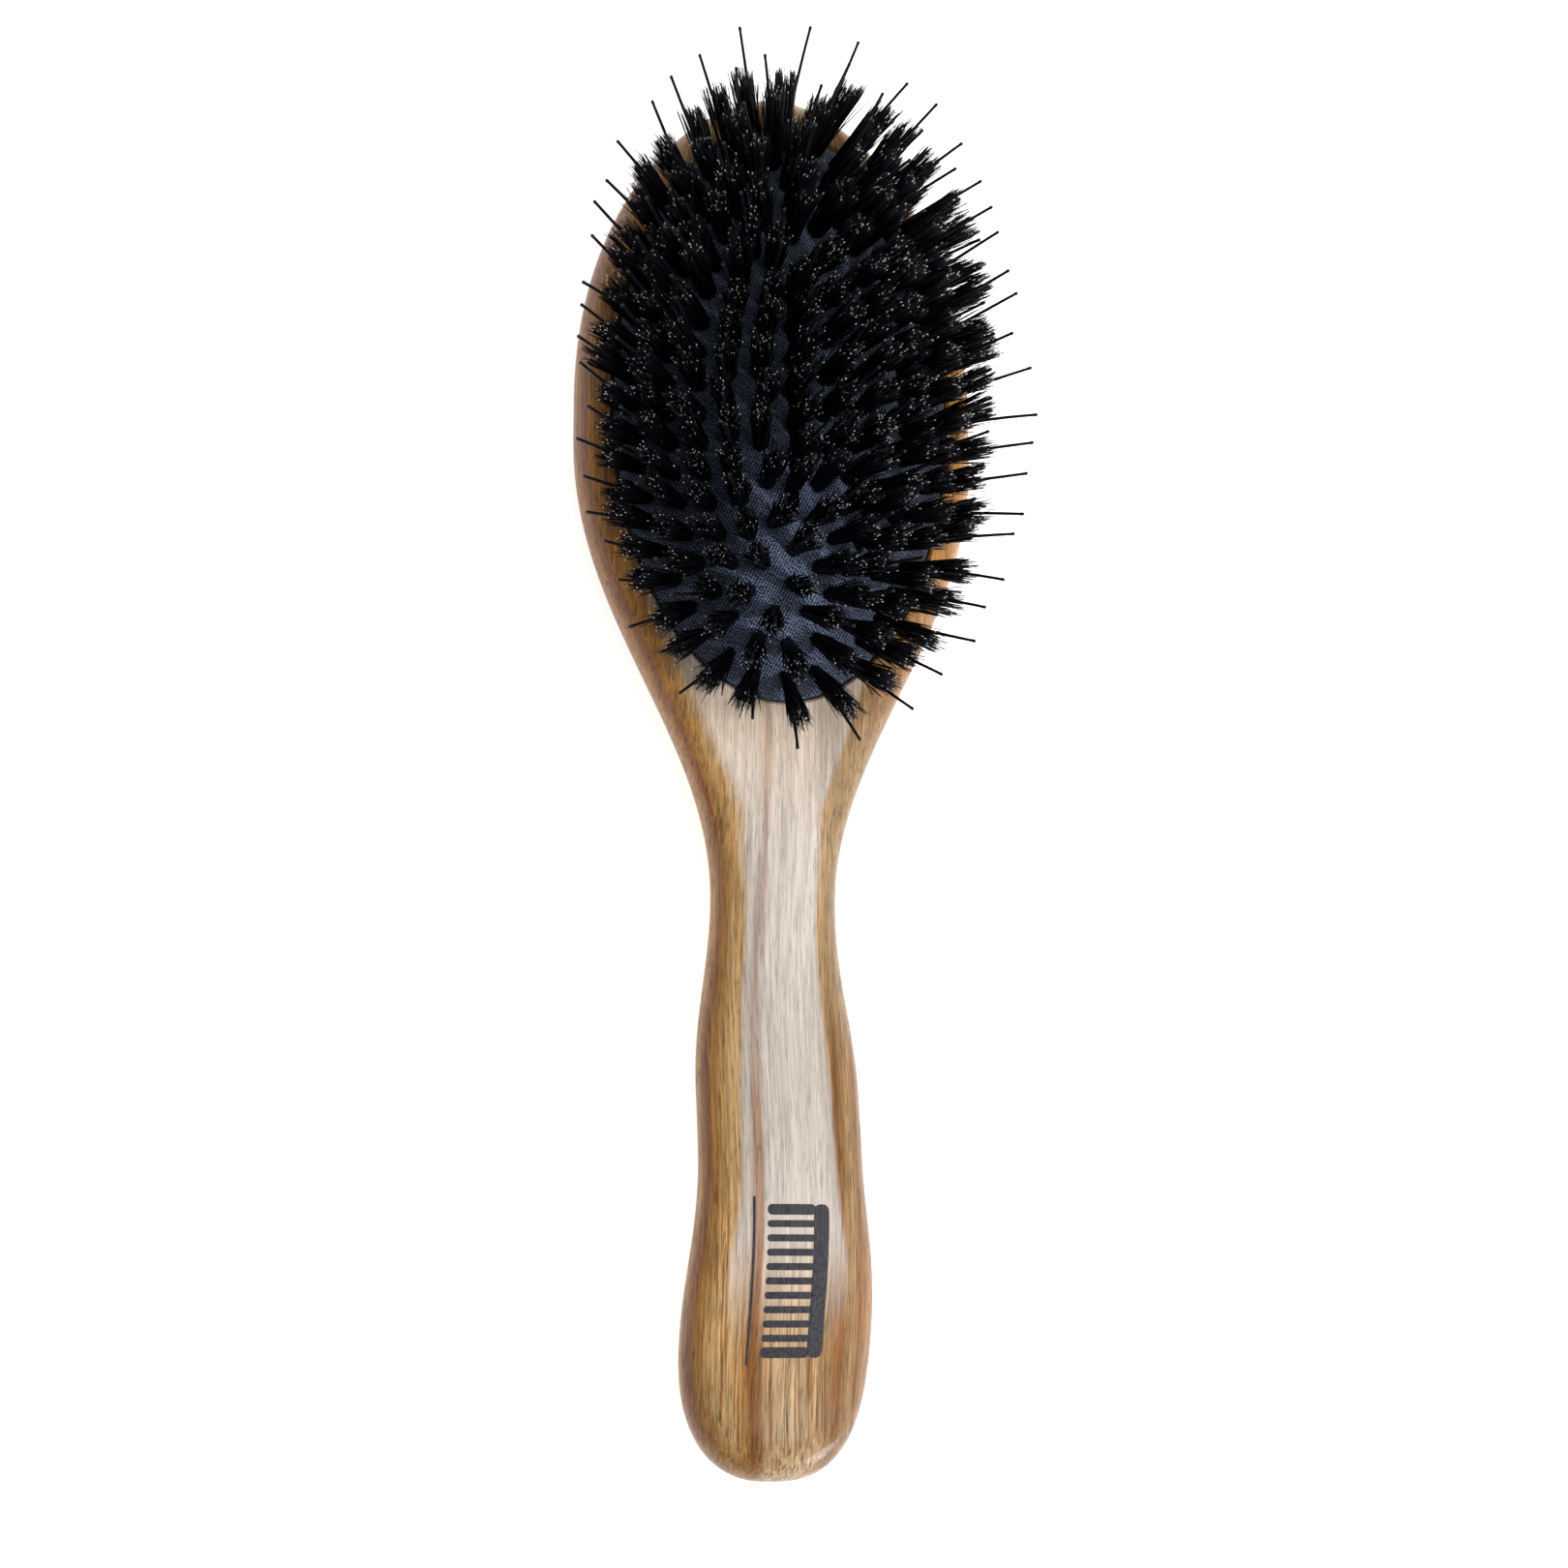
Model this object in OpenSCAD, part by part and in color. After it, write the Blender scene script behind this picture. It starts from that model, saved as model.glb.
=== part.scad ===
// Oval cushion hairbrush: one-piece wooden body, puffed rubberised-cloth cushion,
// boar tufts with a long nylon pin standing in the middle of each tuft.
// Millimetres. Back of the head rests on z = 0, bristles point to +z,
// the crown of the head points to +y and the handle to -y.

/* [Wooden body] */
// Full length from crown to butt
brush_length = 224; // [180:1:260]
// Width of the head at its widest
head_width = 65.8; // [50:0.2:80]
// Distance from the head centre to the crown
crown_reach = 50; // [40:0.5:65]
// Width of the neck
neck_width = 20; // [14:0.5:28]
// Width of the grip in the middle of the handle
grip_width = 25.6; // [18:0.5:34]
// Width of the handle near its end
butt_width = 29.7; // [20:0.1:40]
// Thickness of the head
head_thick = 15.5; // [13:0.5:20]
// Thickness of the handle at the neck and grip
handle_thick = 14; // [10:0.5:18]
// Thickness at the butt
butt_thick = 13; // [9:0.5:16]
// How far the grip rises towards the bristle side
grip_rise = 6; // [0:0.5:10]
// Edge rounding of the head, bristle side
edge_round = 5.2; // [2:0.1:6]

/* [Cushion] */
// Width of the cushion opening
pad_width = 55; // [40:0.5:60]
// Length of the cushion opening
pad_length = 97; // [70:0.5:100]
// Offset of the cushion from the head centre towards the handle
pad_shift = 5.7; // [0:0.1:10]
// Height of the cushion above the wood
pad_rise = 8; // [4:0.5:11]
// Roundness of the cushion, larger is flatter on top
pad_power = 2.3; // [1.8:0.1:3.5]
// Thickness of the rubberised cloth
pad_thick = 1.2; // [0.8:0.1:2]
// Depth of the pocket below the head face
pocket_depth = 9; // [6:0.5:11]
// Depth of the undercut that holds the cushion edge
groove_depth = 1.4; // [0.8:0.1:2]

/* [Tufts and pins] */
// Distance of the outer ring of tufts from the cushion edge
tuft_inset = 3.5; // [2.5:0.1:5]
// Distance from the outer ring to the second ring
ring_step = 4.4; // [4:0.05:6]
// How much wider each next gap between rings is, towards the middle
step_growth = 0.2; // [0:0.05:0.4]
// Tufts in the six rings, outermost first
ring_counts = [46, 39, 33, 26, 18, 7];
// Lean of the tufts in each ring, outermost first
ring_lean = [38, 30, 22, 14, 7, 0];
// Extra share of lean at the two ends of the cushion
end_lean = 0.16; // [0:0.01:0.4]
// Length of a boar tuft above the cushion
tuft_length = 13.5; // [8:0.5:18]
// Width of a boar tuft at the cushion
tuft_root = 2.6; // [1.5:0.1:3]
// Width of a boar tuft at its tips
tuft_tip = 3.8; // [2:0.1:4.5]
// Length of a nylon pin above the cushion
pin_length = 20; // [12:0.5:25]
// Thickness of a nylon pin
pin_width = 0.7; // [0.5:0.05:1.2]

/* [Hidden] */
crown_y = crown_reach;
butt_y = crown_reach - brush_length;
half_head = head_width / 2;
half_neck = neck_width / 2;
half_grip = grip_width / 2;
half_butt = butt_width / 2;
wide_y = -4;
head_end_y = -10;
neck_y = -85;
grip_y = -115;
swell_y = -125;
butt_wide_y = butt_y + 22;
rise_start_y = -94;
rise_top_y = -134;
rise_end_y = -166;
pad_a = pad_width / 2;
pad_b = pad_length / 2;
rim_z = head_thick;
floor_z = rim_z - pocket_depth;
land_sink = 0.35;
run = 0.05;
lip_top = rim_z - 3.4;
lip_foot = rim_z - 5;
collar_gap = 0.12;
collar_wall = 0.38;
collar_height = 0.8;
pin_head = 0.55;

// ---------- shared shape functions ----------

// smooth step from 0 to 1 between two places
function ease(v, from, to) =
    let (t = max(0, min(1, (v - from) / (to - from))))
    0.5 - 0.5 * cos(180 * t);

function mix(a, b, t) = a + (b - a) * t;

// half width of the body between the widest part of the head and the butt
function half_width(y) =
    y > neck_y
    ? mix(half_neck, half_head,
          0.5 + 0.5 * cos(180 * pow(max(0, (head_end_y - y) / (head_end_y - neck_y)), 1.08)))
    : y > swell_y
    ? mix(half_neck, half_grip, ease(y, neck_y, grip_y))
    : mix(half_grip, half_butt, ease(y, swell_y, butt_wide_y));

// outline stations from crown to butt as [half width, y]
crown_steps = 14;
side_steps = 38;
butt_steps = 12;
outline = concat(
    [for (i = [0 : crown_steps])
        let (q = 90 * i / crown_steps)
        [half_head * pow(sin(q), 1.14), wide_y + (crown_y - wide_y) * pow(cos(q), 0.95)]],
    [for (i = [1 : side_steps - 1])
        let (y = mix(wide_y, butt_wide_y, i / side_steps))
        [half_width(y), y]],
    [for (i = [0 : butt_steps])
        let (q = 90 * i / butt_steps)
        [half_butt * pow(cos(q), 0.8), butt_wide_y + (butt_y - butt_wide_y) * pow(sin(q), 0.8)]]);
stations = len(outline);

// outward direction of the outline at a station
function outward(i) =
    i == 0 ? [0, 1]
    : i == stations - 1 ? [0, -1]
    : let (d = outline[i + 1] - outline[i - 1], n = norm(d)) [-d[1] / n, d[0] / n];

// side view: rise of the handle centre line, upper and lower surface
function rise(y) =
    y > rise_top_y
    ? grip_rise * ease(y, rise_start_y, rise_top_y)
    : mix(grip_rise, (butt_thick - head_thick) / 2, ease(y, rise_top_y, rise_end_y));
function thick(y) =
    y > -120
    ? mix(head_thick, handle_thick, ease(y, -58, -92))
    : mix(handle_thick, butt_thick, ease(y, -140, rise_end_y));
function top_z(y) = head_thick / 2 + rise(y) + thick(y) / 2;
function low_z(y) =
    head_thick / 2 + rise(y) - thick(y) / 2
    - land_sink * (1 - ease(y, -6, -92))
    + (y > -6 ? 2.4 * pow((y + 6) / (crown_y + 6), 2) : 0);
function wide_z(y) = mix(low_z(y), top_z(y), mix(0.6, 0.5, ease(y, -60, -95)));

// edge rounding on the bristle side and on the back
function upper_round(y) =
    y > -120
    ? mix(edge_round, 0.7 * half_width(y), ease(y, -55, -88))
    : mix(0.7 * half_grip, 6, ease(y, -120, -150));
function lower_round(y) =
    y > -120
    ? mix(9, 0.78 * half_width(min(y, wide_y)), ease(y, -40, -88))
    : mix(0.78 * half_grip, 6.5, ease(y, -120, -150));
function upper_turn(y) = mix(90, 76, ease(y, -58, -90));
lower_turn = 76;

// one quarter of a section: rounding from the widest line, then a gentle crown
function quarter(i, side, steps, crown_parts) =
    let (p = outline[i], n = outward(i), y0 = p[1],
         r = side > 0 ? upper_round(y0) : lower_round(y0),
         e = side > 0 ? upper_turn(y0) : lower_turn,
         k = cos(e) / (1 + cos(e)),
         xi = max(0, p[0] - n[0] * r),
         yi = y0 - n[1] * r)
    concat(
        [for (j = [0 : steps])
            let (a = e * j / steps,
                 g = (1 - cos(a)) / (1 - cos(e)),
                 x = max(0, p[0] - n[0] * r * g),
                 y = y0 - n[1] * r * g,
                 full = side > 0 ? top_z(y) - wide_z(y) : wide_z(y) - low_z(y),
                 h = full / (1 + k * xi / (2 * r)))
            [x, y, wide_z(y) + side * h * sin(a) / sin(e)]],
        [for (j = [1 : crown_parts])
            let (x = xi * (1 - j / crown_parts),
                 full = side > 0 ? top_z(yi) - wide_z(yi) : wide_z(yi) - low_z(yi),
                 h = full / (1 + k * xi / (2 * r)),
                 d = full - h)
            [x, yi, wide_z(yi) + side * (h + d * (1 - pow(1 - j / crown_parts, 2)))]]);

upper_steps = 6;
upper_crown = 2;
lower_steps = 7;
lower_crown = 4;
half_loop = upper_steps + upper_crown + lower_steps + lower_crown;

// right half of a section from the back centre line up to the top centre line
function half_section(i) =
    let (low = quarter(i, -1, lower_steps, lower_crown),
         up = quarter(i, 1, upper_steps, upper_crown))
    concat(
        [for (j = [len(low) - 1 : -1 : 1]) [low[j][0], low[j][1], max(0, low[j][2])]],
        up);

function section(i) =
    let (h = half_section(i))
    concat(h, [for (j = [half_loop - 1 : -1 : 1]) [-h[j][0], h[j][1], h[j][2]]]);

// at the two ends of the body the left and right halves meet in one line
function corner(i, j) =
    let (loop = 2 * half_loop, jj = j % loop,
         m = jj > half_loop ? loop - jj : jj)
    (i == 0 || i == stations - 1)
    ? i * loop + max(lower_crown, min(half_loop - upper_crown, m))
    : i * loop + jj;

function distinct(f) = f[0] != f[1] && f[1] != f[2] && f[0] != f[2];

module body_blank() {
    loop = 2 * half_loop;
    pts = [for (i = [0 : stations - 1]) for (p = section(i)) p];
    raw = [for (i = [0 : stations - 2]) for (j = [0 : loop - 1])
        let (a = corner(i, j), b = corner(i, j + 1), c = corner(i + 1, j + 1), d = corner(i + 1, j))
        each [[a, c, b], [a, d, c]]];
    polyhedron(pts, [for (f = raw) if (distinct(f)) f], convexity = 6);
}

// oval of the cushion opening, drawn a given distance inside its edge
module oval(inset = 0) {
    translate([0, -pad_shift])
        scale([pad_a - inset, pad_b - inset])
            circle(r = 1, $fn = 120);
}

module oval_plate(inset, from_z, to_z) {
    translate([0, 0, from_z])
        linear_extrude(height = to_z - from_z)
            oval(inset);
}

// height of the cushion face above the wood, a given distance inside its edge
function puff(d) = pad_rise * (1 - pow(max(0, 1 - d / pad_a), pad_power));

// point on an oval at a given turn
function on_oval(d, turn) =
    [(pad_a - d) * sin(turn), (pad_b - d) * cos(turn) - pad_shift];

// closed skin swept round the oval; rows are [inset, z] from the top face to the inner face
module oval_skin(rows, around) {
    n = len(rows);
    pts = [for (r = rows) for (k = [0 : around - 1])
        let (p = on_oval(r[0], 360 * k / around)) [p[0], p[1], r[1]]];
    side_faces = [for (i = [0 : n - 2]) for (k = [0 : around - 1])
        let (a = i * around + k, b = i * around + (k + 1) % around,
             c = (i + 1) * around + (k + 1) % around, d = (i + 1) * around + k)
        each [[a, c, b], [a, d, c]]];
    top_face = [for (k = [0 : around - 1]) k];
    low_face = [for (k = [around - 1 : -1 : 0]) (n - 1) * around + k];
    polyhedron(pts, concat([top_face], side_faces, [low_face]), convexity = 6);
}

// ---------- tuft layout ----------

// free length left at each end of the middle row
centre_gap = 5;

function ring_inset(k) =
    k == 5 ? pad_a : tuft_inset + k * ring_step + step_growth * k * (k - 1) / 2;

// arc length against turn for one oval ring
function ring_walk(k) =
    let (d = ring_inset(k))
    [for (t = 0, s = 0; t <= 360;
          s = s + norm(on_oval(d, t + 2) - on_oval(d, t)), t = t + 2) [s, t]];

// turns of the evenly spaced tufts of one ring
function ring_turns(k) =
    let (w = ring_walk(k), total = w[len(w) - 1][0], n = ring_counts[k])
    [for (i = [0 : n - 1]) lookup(total * (i + (k == 1 ? 0.5 : 0)) / n, w)];

// direction in plan in which a tuft leans
function lean_way(d, turn) =
    atan2((pad_a - d) * cos(turn), (pad_b - d) * sin(turn));

// places its children at every tuft of a ring, z along the bristles
module at_tufts(k) {
    d = ring_inset(k);
    if (k == 5) {
        reach = pad_b - pad_a - centre_gap;
        for (i = [0 : ring_counts[5] - 1])
            translate([0, mix(reach, -reach, i / (ring_counts[5] - 1)) - pad_shift, rim_z + pad_rise])
                children();
    } else {
        for (turn = ring_turns(k)) {
            p = on_oval(d, turn);
            translate([p[0], p[1], rim_z + puff(d)])
                rotate([0, 0, lean_way(d, turn)])
                    rotate([0, ring_lean[k] * (1 + end_lean * pow(cos(turn), 2)), 0])
                        children();
        }
    }
}

root_depth = pad_thick + 2;

// one boar tuft, bored for its pin
module one_tuft() {
    bore = pin_width / 2 + 0.06;
    rotate_extrude($fn = 24)
        polygon([
            [bore, -root_depth],
            [tuft_root / 2, -root_depth],
            [tuft_tip / 2, tuft_length],
            [bore, tuft_length]]);
}

// one nylon pin with a flat head under the cushion and a ball tip
module one_pin() {
    translate([0, 0, -root_depth - pin_head - 0.05])
        cylinder(d = tuft_root, h = pin_head, $fn = 24);
    translate([0, 0, -root_depth - 0.1])
        cylinder(d = pin_width, h = pin_length + root_depth + 0.1 - pin_width / 2, $fn = 16);
    translate([0, 0, pin_length - 0.45])
        sphere(d = pin_width + 0.2, $fn = 16);
}

// one collar that grips the tuft root behind the cushion
module one_collar() {
    bore = tuft_root / 2 + collar_gap;
    rotate_extrude($fn = 24)
        polygon([
            [bore, -root_depth],
            [bore + collar_wall, -root_depth],
            [bore + collar_wall, -root_depth + collar_height],
            [bore, -root_depth + collar_height]]);
}

// ---------- pieces ----------

module wood_body() {
    color("burlywood")
        difference() {
            body_blank();
            oval_plate(0, floor_z, rim_z + 5);
            oval_plate(-groove_depth, lip_foot, lip_top);
        }
}

module cushion() {
    color("#2b2f3a")
        difference() {
            oval_skin(concat(
                [for (i = [0 : 9])
                    let (d = pad_a * pow(1 - i / 10, 1.3) * 0.98 + run)
                    [d, rim_z + puff(d)]],
                [[run, lip_top - 0.05],
                 [run - groove_depth + 0.1, lip_top - 0.15],
                 [run - groove_depth + 0.1, lip_foot + 0.1],
                 [run + pad_thick, lip_foot + 0.1],
                 [run + pad_thick, rim_z - 0.6]],
                [for (i = [1 : 7])
                    let (d = (pad_a * 0.98 - pad_thick) * pow(i / 7, 1.3) + pad_thick + run)
                    [d, rim_z + puff(d) - pad_thick - 0.1]]), 72);
            for (k = [0 : 5])
                at_tufts(k)
                    translate([0, 0, -3])
                        cylinder(d = tuft_root + 0.5, h = 6, $fn = 24);
        }
}

module retaining_ring() {
    color("silver")
        difference() {
            oval_plate(pad_thick + 0.15, rim_z - 5, rim_z - 2.6);
            oval_plate(pad_thick + 1.75, rim_z - 6, rim_z - 1);
        }
}

module tufts(k) {
    color("#1c1a1c")
        at_tufts(k) one_tuft();
}

module pins(k) {
    color("#101012")
        at_tufts(k) one_pin();
}

module collars(k) {
    color("#3a3a3c")
        at_tufts(k) one_collar();
}

module tufts_outer() {
    tufts(0);
}

module tufts_second() {
    tufts(1);
}

module tufts_third() {
    tufts(2);
}

module tufts_fourth() {
    tufts(3);
}

module tufts_inner() {
    tufts(4);
}

module tufts_centre() {
    tufts(5);
}

module pins_outer() {
    pins(0);
}

module pins_second() {
    pins(1);
}

module pins_third() {
    pins(2);
}

module pins_fourth() {
    pins(3);
}

module pins_inner() {
    pins(4);
}

module pins_centre() {
    pins(5);
}

module collars_outer() {
    collars(0);
}

module collars_second() {
    collars(1);
}

module collars_third() {
    collars(2);
}

module collars_fourth() {
    collars(3);
}

module collars_inner() {
    collars(4);
}

module collars_centre() {
    collars(5);
}

wood_body();
cushion();
retaining_ring();
tufts_outer();
tufts_second();
tufts_third();
tufts_fourth();
tufts_inner();
tufts_centre();
pins_outer();
pins_second();
pins_third();
pins_fourth();
pins_inner();
pins_centre();
collars_outer();
collars_second();
collars_third();
collars_fourth();
collars_inner();
collars_centre();
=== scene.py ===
import math

import bmesh
import bpy
import numpy as np
from mathutils import Matrix, Vector
from mathutils.bvhtree import BVHTree


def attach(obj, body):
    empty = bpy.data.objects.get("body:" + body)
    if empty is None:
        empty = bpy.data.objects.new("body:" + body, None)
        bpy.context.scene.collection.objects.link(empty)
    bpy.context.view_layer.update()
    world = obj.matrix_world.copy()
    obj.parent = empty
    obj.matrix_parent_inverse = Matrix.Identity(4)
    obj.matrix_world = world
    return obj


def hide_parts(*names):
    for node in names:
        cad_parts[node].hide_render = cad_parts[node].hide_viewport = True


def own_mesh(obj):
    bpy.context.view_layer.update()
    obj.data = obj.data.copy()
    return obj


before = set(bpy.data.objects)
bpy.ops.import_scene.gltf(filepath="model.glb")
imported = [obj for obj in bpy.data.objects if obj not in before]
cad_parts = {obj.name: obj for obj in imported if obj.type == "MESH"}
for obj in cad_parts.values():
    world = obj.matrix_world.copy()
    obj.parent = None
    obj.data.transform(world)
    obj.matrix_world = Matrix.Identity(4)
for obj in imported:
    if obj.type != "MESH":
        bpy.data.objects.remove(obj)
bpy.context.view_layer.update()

MM = 0.001
rng = np.random.default_rng(7)

# ---------------------------------------------------------------- shape rules
# The same rules as the CAD body, in millimetres and degrees, evaluated on a finer mesh.

# the outline of the body: half widths, and where along Y they are reached
HALF_HEAD, HALF_NECK, HALF_GRIP, HALF_BUTT = 32.9, 10.0, 12.8, 14.85
CROWN_Y, BUTT_Y = 50.0, -174.0
WIDE_Y, HEAD_END_Y, NECK_Y, GRIP_Y, SWELL_Y = -4.0, -10.0, -85.0, -115.0, -125.0
BUTT_WIDE_Y = BUTT_Y + 22.0
NECK_POWER, CROWN_POWERS, BUTT_POWER = 1.08, (1.14, 0.95), 0.8
# its thickness, and the lift of the grip between the neck and the butt
HEAD_THICK, HANDLE_THICK, BUTT_THICK = 15.5, 14.0, 13.0
THIN_START_Y, THIN_END_Y, BUTT_THIN_Y = -58.0, -92.0, -140.0
LIFT_Y, LIFTED_Y, DROPPED_Y = -94.0, -134.0, -166.0
GRIP_RISE, BUTT_RISE = 6.0, (BUTT_THICK - HEAD_THICK) / 2
MIDDLE_Z, RIM_Z = HEAD_THICK / 2, HEAD_THICK
# the rules change over from the neck's to the butt's in the middle of the handle
MID_HANDLE_Y = -120.0
# the back: how far the head hangs below the even thickness, and how it sweeps up to the crown
BACK_SAG, CROWN_SWEEP, SWEEP_Y = 0.35, 2.4, -6.0
# how far round the edge turns before the top and the back begin; the head's top edge turns by 90
EDGE_ANGLE = 76
# the oval cushion: half axes, shift towards the handle, and height of the dome
PAD_A, PAD_B, PAD_SHIFT = 27.5, 48.5, 5.7
PAD_RISE, PAD_POWER = 8.0, 2.3
# the tufts: five oval rings and a centre row, with the lean of each ring and the part of a
# step by which it is turned; the lean grows by END_LEAN at the ends of the oval
TUFT_INSET, RING_STEP, STEP_GROWTH = 3.5, 4.4, 0.2
RING_NAMES = ["outer", "second", "third", "fourth", "inner", "centre"]
RING_BODIES = ["outer_ring", "second_ring", "third_ring", "fourth_ring", "inner_ring",
               "centre_row"]
RING_COUNTS = [46, 39, 33, 26, 18, 7]
RING_LEAN = [38, 30, 22, 14, 7]
RING_OFFSET = [0, 0.5, 0, 0, 0]
CENTRE_ROW = 5
END_LEAN = 0.16
CENTRE_GAP = 5.0


def ease(v, a, b):
    t = max(0.0, min(1.0, (v - a) / (b - a)))
    return 0.5 - 0.5 * math.cos(math.pi * t)


def mix(a, b, t):
    return a + (b - a) * t


def half_width(y):
    if y > NECK_Y:
        t = max(0.0, (HEAD_END_Y - y) / (HEAD_END_Y - NECK_Y)) ** NECK_POWER
        return mix(HALF_NECK, HALF_HEAD, 0.5 + 0.5 * math.cos(math.pi * t))
    if y > SWELL_Y:
        return mix(HALF_NECK, HALF_GRIP, ease(y, NECK_Y, GRIP_Y))
    return mix(HALF_GRIP, HALF_BUTT, ease(y, SWELL_Y, BUTT_WIDE_Y))


def rise(y):
    """Lift of the middle plane of the body over the middle plane of the head."""
    if y > LIFTED_Y:
        return GRIP_RISE * ease(y, LIFT_Y, LIFTED_Y)
    return mix(GRIP_RISE, BUTT_RISE, ease(y, LIFTED_Y, DROPPED_Y))


def thick(y):
    if y > MID_HANDLE_Y:
        return mix(HEAD_THICK, HANDLE_THICK, ease(y, THIN_START_Y, THIN_END_Y))
    return mix(HANDLE_THICK, BUTT_THICK, ease(y, BUTT_THIN_Y, DROPPED_Y))


def top_z(y):
    return MIDDLE_Z + rise(y) + thick(y) / 2


def low_z(y):
    z = MIDDLE_Z + rise(y) - thick(y) / 2 - BACK_SAG * (1 - ease(y, SWEEP_Y, THIN_END_Y))
    if y > SWEEP_Y:
        z += CROWN_SWEEP * ((y - SWEEP_Y) / (CROWN_Y - SWEEP_Y)) ** 2
    return z


def wide_z(y):
    """Height of the widest line round the body."""
    return mix(low_z(y), top_z(y), mix(0.6, 0.5, ease(y, -60, -95)))


def rounding(y, head, share, head_end, width, butt):
    """Plan depth of the rounded edge: fixed on the head and butt, a share of the width between."""
    if y > MID_HANDLE_Y:
        return mix(head, share * width, ease(y, head_end, -88))
    return mix(share * HALF_GRIP, butt, ease(y, MID_HANDLE_Y, -150))


def upper_round(y):
    return rounding(y, 5.2, 0.7, -55, half_width(y), 6)


def lower_round(y):
    return rounding(y, 9, 0.78, -40, half_width(min(y, WIDE_Y)), 6.5)


def outline(crown_steps, side_steps, butt_steps):
    """Points of the right half of the outline in plan, from the crown to the butt."""
    pts = []
    for i in range(crown_steps + 1):
        q = math.pi / 2 * i / crown_steps
        c = max(0.0, math.cos(q))
        pts.append((HALF_HEAD * math.sin(q) ** CROWN_POWERS[0],
                    WIDE_Y + (CROWN_Y - WIDE_Y) * c ** CROWN_POWERS[1]))
    for i in range(1, side_steps):
        y = mix(WIDE_Y, BUTT_WIDE_Y, i / side_steps)
        pts.append((half_width(y), y))
    for i in range(butt_steps + 1):
        q = math.pi / 2 * i / butt_steps
        c = max(0.0, math.cos(q))
        pts.append((HALF_BUTT * c ** BUTT_POWER,
                    BUTT_WIDE_Y + (BUTT_Y - BUTT_WIDE_Y) * math.sin(q) ** BUTT_POWER))
    pts[0] = (0.0, CROWN_Y)
    pts[-1] = (0.0, BUTT_Y)
    return pts


def outward(pts, i):
    """Unit vector that points out of the outline at point i."""
    if i == 0:
        return 0.0, 1.0
    if i == len(pts) - 1:
        return 0.0, -1.0
    dx, dy = pts[i + 1][0] - pts[i - 1][0], pts[i + 1][1] - pts[i - 1][1]
    n = math.hypot(dx, dy)
    return -dy / n, dx / n


def quarter(p, n, side, steps, crown):
    """Section from the outline to the middle, over (side 1) or under (side -1) the widest line."""
    y0 = p[1]
    r = upper_round(y0) if side > 0 else lower_round(y0)
    e = math.radians(mix(90, EDGE_ANGLE, ease(y0, -58, -90)) if side > 0 else EDGE_ANGLE)
    k = math.cos(e) / (1 + math.cos(e))
    xi, yi = max(0.0, p[0] - n[0] * r), y0 - n[1] * r
    out = []

    def full(y):
        return top_z(y) - wide_z(y) if side > 0 else wide_z(y) - low_z(y)

    for j in range(steps + 1):
        a = e * j / steps
        g = (1 - math.cos(a)) / (1 - math.cos(e))
        x, y = max(0.0, p[0] - n[0] * r * g), y0 - n[1] * r * g
        h = full(y) / (1 + k * xi / (2 * r))
        out.append((x, y, wide_z(y) + side * h * math.sin(a) / math.sin(e)))
    h = full(yi) / (1 + k * xi / (2 * r))
    d = full(yi) - h
    for j in range(1, crown + 1):
        out.append((xi * (1 - j / crown), yi,
                    wide_z(yi) + side * (h + d * (1 - (1 - j / crown) ** 2))))
    return out


def body_mesh():
    """Vertices and faces of the whole body; each row of vertices is one closed section."""
    up_n, up_c, low_n, low_c = 14, 8, 16, 12
    half = up_n + up_c + low_n + low_c
    pts = outline(44, 132, 36)
    rows = []
    for i, p in enumerate(pts):
        n = outward(pts, i)
        low = quarter(p, n, -1, low_n, low_c)
        up = quarter(p, n, 1, up_n, up_c)
        right = [(x, y, max(0.0, z)) for x, y, z in low[:0:-1]] + up
        rows.append(right + [(-x, y, z) for x, y, z in right[half - 1:0:-1]])
    loop = 2 * half
    last = len(rows) - 1

    def corner(i, j):
        jj = j % loop
        m = loop - jj if jj > half else jj
        if i in (0, last):
            return i * loop + max(low_c, min(half - up_c, m))
        return i * loop + jj

    verts = [v for row in rows for v in row]
    faces = []
    for i in range(last):
        for j in range(loop):
            f = [corner(i, j), corner(i + 1, j), corner(i + 1, j + 1), corner(i, j + 1)]
            f = [v for k, v in enumerate(f) if v not in f[:k]]
            if len(f) > 2:
                faces.append(f)
    used = sorted({v for f in faces for v in f})
    index = {v: k for k, v in enumerate(used)}
    return ([tuple(c * MM for c in verts[v]) for v in used],
            [[index[v] for v in f] for f in faces])


def new_object(name, verts, faces, material, smooth=True):
    me = bpy.data.meshes.new(name)
    me.from_pydata(verts, [], faces)
    me.validate()
    me.update()
    ob = bpy.data.objects.new(name, me)
    bpy.context.collection.objects.link(ob)
    me.materials.append(material)
    if smooth:
        me.polygons.foreach_set("use_smooth", [True] * len(me.polygons))
    return ob


def fix_normals(ob):
    """Turn all faces outwards."""
    bm = bmesh.new()
    bm.from_mesh(ob.data)
    bmesh.ops.recalc_face_normals(bm, faces=bm.faces)
    bm.to_mesh(ob.data)
    bm.free()


def on_oval(d, turn):
    """Point of the oval d millimetres inside the edge of the cushion."""
    return (PAD_A - d) * math.sin(turn), (PAD_B - d) * math.cos(turn) - PAD_SHIFT


def puff(d):
    """Height of the domed cushion d millimetres inside its edge."""
    return PAD_RISE * (1 - max(0.0, 1 - d / PAD_A) ** PAD_POWER)


def swept_oval(rows, around):
    """Vertices and faces of a skin swept round the oval; rows are (inset, z)."""
    verts, faces = [], []
    for d, z in rows:
        for k in range(around):
            x, y = on_oval(d, 2 * math.pi * k / around)
            verts.append((x * MM, y * MM, z * MM))
    for i in range(len(rows) - 1):
        for k in range(around):
            a, b = i * around + k, i * around + (k + 1) % around
            faces.append((a, b, b + around, a + around))
    return verts, faces


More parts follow.
